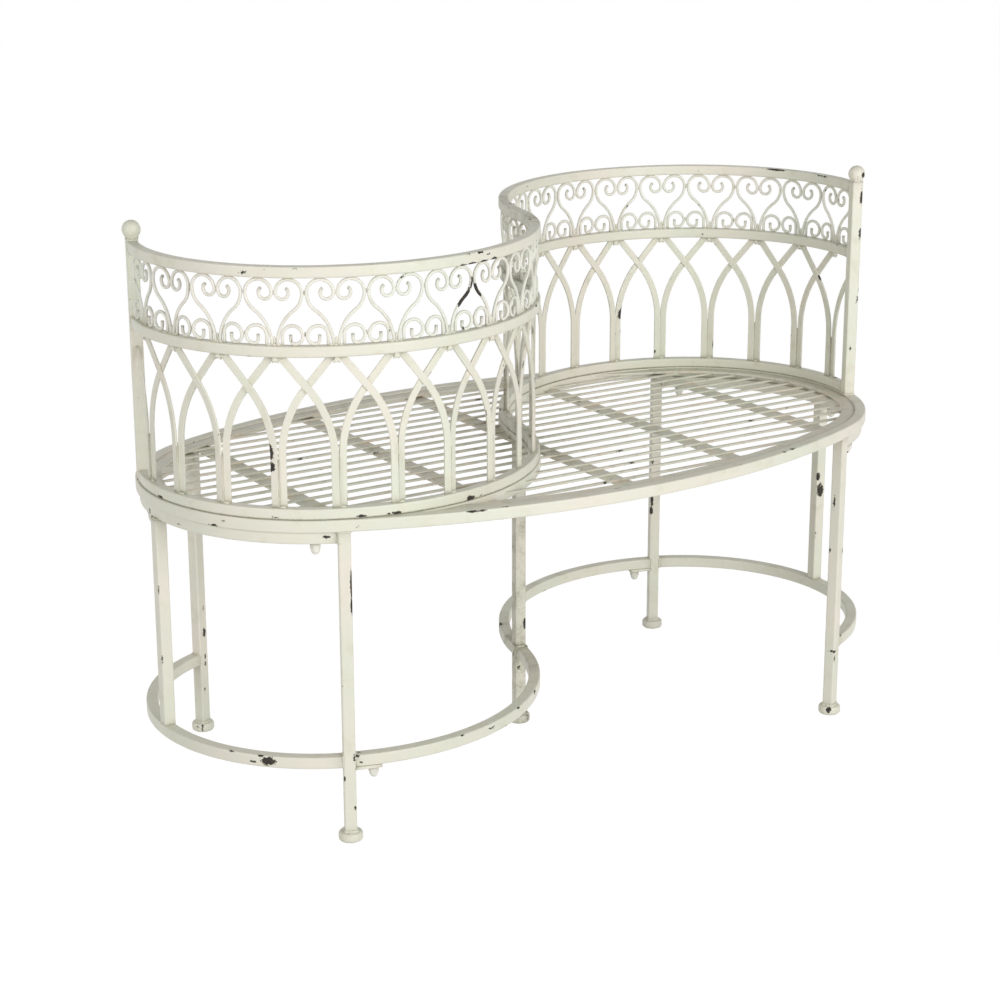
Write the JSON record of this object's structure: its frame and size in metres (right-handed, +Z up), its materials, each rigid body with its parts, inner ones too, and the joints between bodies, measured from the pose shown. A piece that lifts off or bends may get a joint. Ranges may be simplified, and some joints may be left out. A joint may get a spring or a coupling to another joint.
{
  "type": "kissing bench",
  "caption": "Oval metal bench with two slatted seats that face opposite ways, parted by an S-shaped back of crossing gothic arches under a band of heart scrolls.",
  "frame": {"origin": "on the ground under the middle of the bench, the centre of the underside of the bounding box", "axes": "+X along the bench, +Y from front to rear, +Z up; half a turn about Z brings the bench onto itself"},
  "size_m": [1.2, 0.668, 0.8317],
  "materials": {
    "frame_paint": "cream paint, satin, worn and chipped at the edges",
    "scroll_paint": "cream paint, satin, dirt in the joints",
    "seat_paint": "cream paint, satin, dulled and dirty",
    "fixings_paint": "cream paint, satin"
  },
  "bodies": {
    "root": {"seat_rim": "frame_paint", "seat_ring": "seat_paint", "seat_slats": "seat_paint", "seat_straps": "seat_paint", "seat_centre_rail": "frame_paint", "bottom_rail": "frame_paint", "middle_rail": "frame_paint", "top_rail": "frame_paint", "left_end_post": "frame_paint", "right_end_post": "frame_paint", "left_ball_finial": "frame_paint", "right_ball_finial": "frame_paint", "left_arch_bars": "frame_paint", "right_arch_bars": "frame_paint", "left_heart_scrolls": "scroll_paint", "middle_heart_scroll": "scroll_paint", "right_heart_scrolls": "scroll_paint", "left_small_scrolls": "scroll_paint", "middle_small_scrolls": "scroll_paint", "right_small_scrolls": "scroll_paint", "front_left_leg": "frame_paint", "rear_left_leg": "frame_paint", "front_right_leg": "frame_paint", "rear_right_leg": "frame_paint", "centre_leg": "frame_paint", "centre_upright": "frame_paint", "front_left_foot": "frame_paint", "rear_left_foot": "frame_paint", "front_right_foot": "frame_paint", "rear_right_foot": "frame_paint", "centre_foot": "frame_paint", "left_support_rail": "frame_paint", "right_support_rail": "frame_paint", "left_end_upright": "frame_paint", "right_end_upright": "frame_paint", "left_stretcher": "frame_paint", "right_stretcher": "frame_paint", "centre_stretcher": "frame_paint", "stretcher_tabs": "frame_paint", "stretcher_studs": "fixings_paint", "stretcher_washers": "fixings_paint", "stretcher_nuts": "fixings_paint", "seat_studs": "fixings_paint", "seat_washers": "fixings_paint", "seat_nuts": "fixings_paint"}
  },
  "joints": []
}
